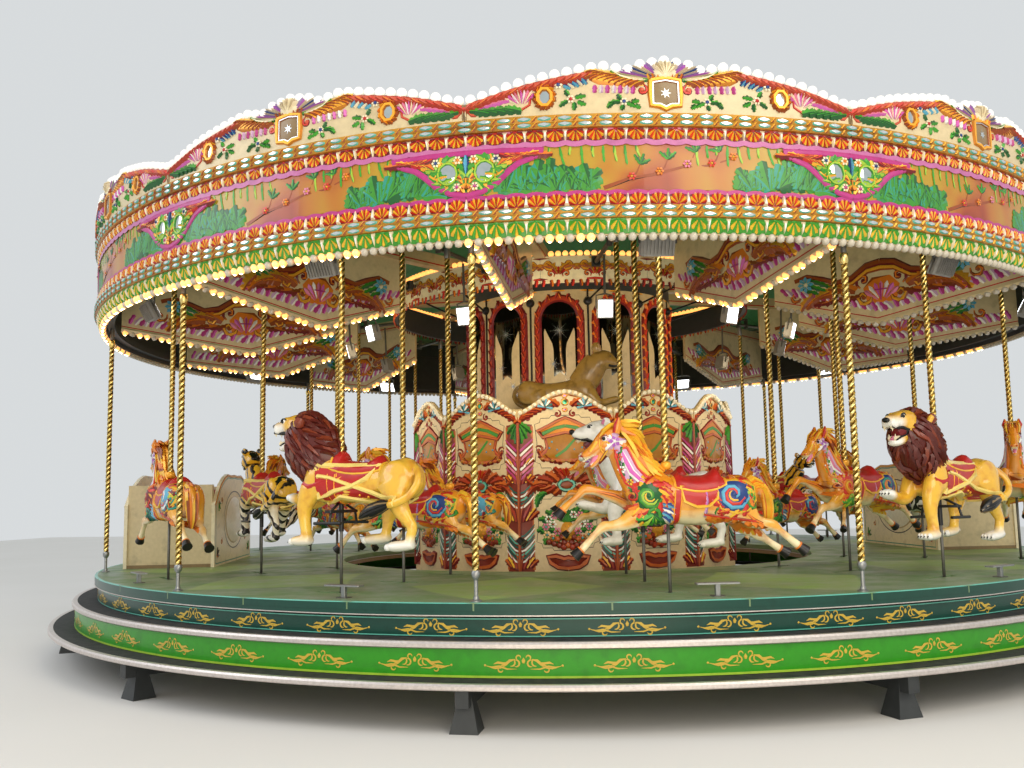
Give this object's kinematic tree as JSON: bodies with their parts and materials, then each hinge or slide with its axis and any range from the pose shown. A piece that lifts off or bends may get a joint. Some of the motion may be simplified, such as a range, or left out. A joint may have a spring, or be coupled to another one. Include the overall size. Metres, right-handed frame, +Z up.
{
  "type": "fairground carousel",
  "caption": "Three-row fairground carousel: turning floor and scalloped top hung from a mast, galloping animals on brass poles, chariots, stepped base.",
  "frame": {"origin": "on the ground at the middle of the ride, under the mast", "axes": "+Z up along the mast; -Y is the side that faces the picture's viewer, with a rim pole on it; +X to that viewer's right"},
  "size_m": [12.91, 12.91, 6.8303],
  "materials": {
    "painted_steel_dark": "satin dark paint",
    "rubber_tread": "ribbed black rubber with a pale metal nosing",
    "green_riser": "bright green gloss paint with gold scrollwork",
    "teal_riser": "dark teal gloss paint with gold scrollwork",
    "green_floor": "worn non-slip floor paint, green wedges on grey-green",
    "cream_board": "cream enamel with carved and painted ornament",
    "drum_panel": "beige enamel with carved dark red arches round mirrors",
    "steel": "plain grey steel",
    "twisted_brass": "polished twisted brass tube",
    "gilt_carving": "moulded and gilded ornament with red and green paint",
    "painted_panel": "sunset-coloured panels with painted leaves",
    "green_canvas": "coated green canvas",
    "chariot_board": "cream enamel boards",
    "horse_coat": "gloss painted fibreglass, gold and cream",
    "lion_coat": "gloss painted fibreglass, golden yellow",
    "tiger_coat": "gloss painted fibreglass, yellow with black stripes",
    "bear_coat": "gloss painted fibreglass, white",
    "zebra_coat": "gloss painted fibreglass, white with black stripes",
    "lioness_coat": "matt painted fibreglass, tawny"
  },
  "bodies": {
    "base": {"ground_frame": "painted_steel_dark", "lower_tread": "rubber_tread", "lower_riser": "green_riser", "upper_tread": "rubber_tread", "upper_riser": "teal_riser", "centre_shutters": "cream_board", "centre_deck": "painted_steel_dark", "mast": "steel", "lioness_figure": "lioness_coat"},
    "turntable": {"chariot_left": "chariot_board", "chariot_right": "chariot_board", "crown_boards": "cream_board", "floor_edge_band": "teal_riser", "floor_inner_band": "cream_board", "lower_cornice": "gilt_carving", "mirror_drum": "drum_panel", "picture_band": "painted_panel", "ride_floor": "green_floor", "rim_poles": "twisted_brass", "roof_canvas": "green_canvas", "roof_finial": "gilt_carving", "swift_frame": "cream_board", "upper_cornice": "gilt_carving"},
    "gallop_a": {"horse_inner_02": "horse_coat", "horse_inner_05": "horse_coat", "horse_inner_08": "horse_coat", "horse_inner_11": "horse_coat", "horse_middle_06": "horse_coat", "horse_middle_12": "horse_coat", "horse_outer_01": "horse_coat", "horse_outer_07": "horse_coat", "zebra_middle_03": "zebra_coat", "zebra_middle_09": "zebra_coat"},
    "gallop_b": {"bear_middle_01": "bear_coat", "bear_middle_07": "bear_coat", "horse_inner_03": "horse_coat", "horse_inner_06": "horse_coat", "horse_inner_09": "horse_coat", "horse_inner_12": "horse_coat", "horse_outer_05": "horse_coat", "horse_outer_11": "horse_coat", "lion_outer_02": "lion_coat", "lion_outer_08": "lion_coat"},
    "gallop_c": {"horse_inner_01": "horse_coat", "horse_inner_07": "horse_coat", "horse_middle_02": "horse_coat", "horse_middle_08": "horse_coat", "horse_outer_03": "horse_coat", "horse_outer_09": "horse_coat", "lion_outer_06": "lion_coat", "lion_outer_12": "lion_coat", "tiger_middle_05": "tiger_coat", "tiger_middle_11": "tiger_coat"}
  },
  "joints": [
    {"name": "turntable_spin", "type": "hinge", "parent": "base", "child": "turntable", "pos_m": [0, 0, 4.25], "axis": [0, 0, 1], "continuous": true},
    {"name": "gallop_a_slide", "type": "slide", "parent": "turntable", "child": "gallop_a", "axis": [0, 0, 1], "range_m": [-0.14, 0.26]},
    {"name": "gallop_b_slide", "type": "slide", "parent": "turntable", "child": "gallop_b", "axis": [0, 0, 1], "range_m": [-0.2, 0.2]},
    {"name": "gallop_c_slide", "type": "slide", "parent": "turntable", "child": "gallop_c", "axis": [0, 0, 1], "range_m": [-0.26, 0.14]}
  ]
}
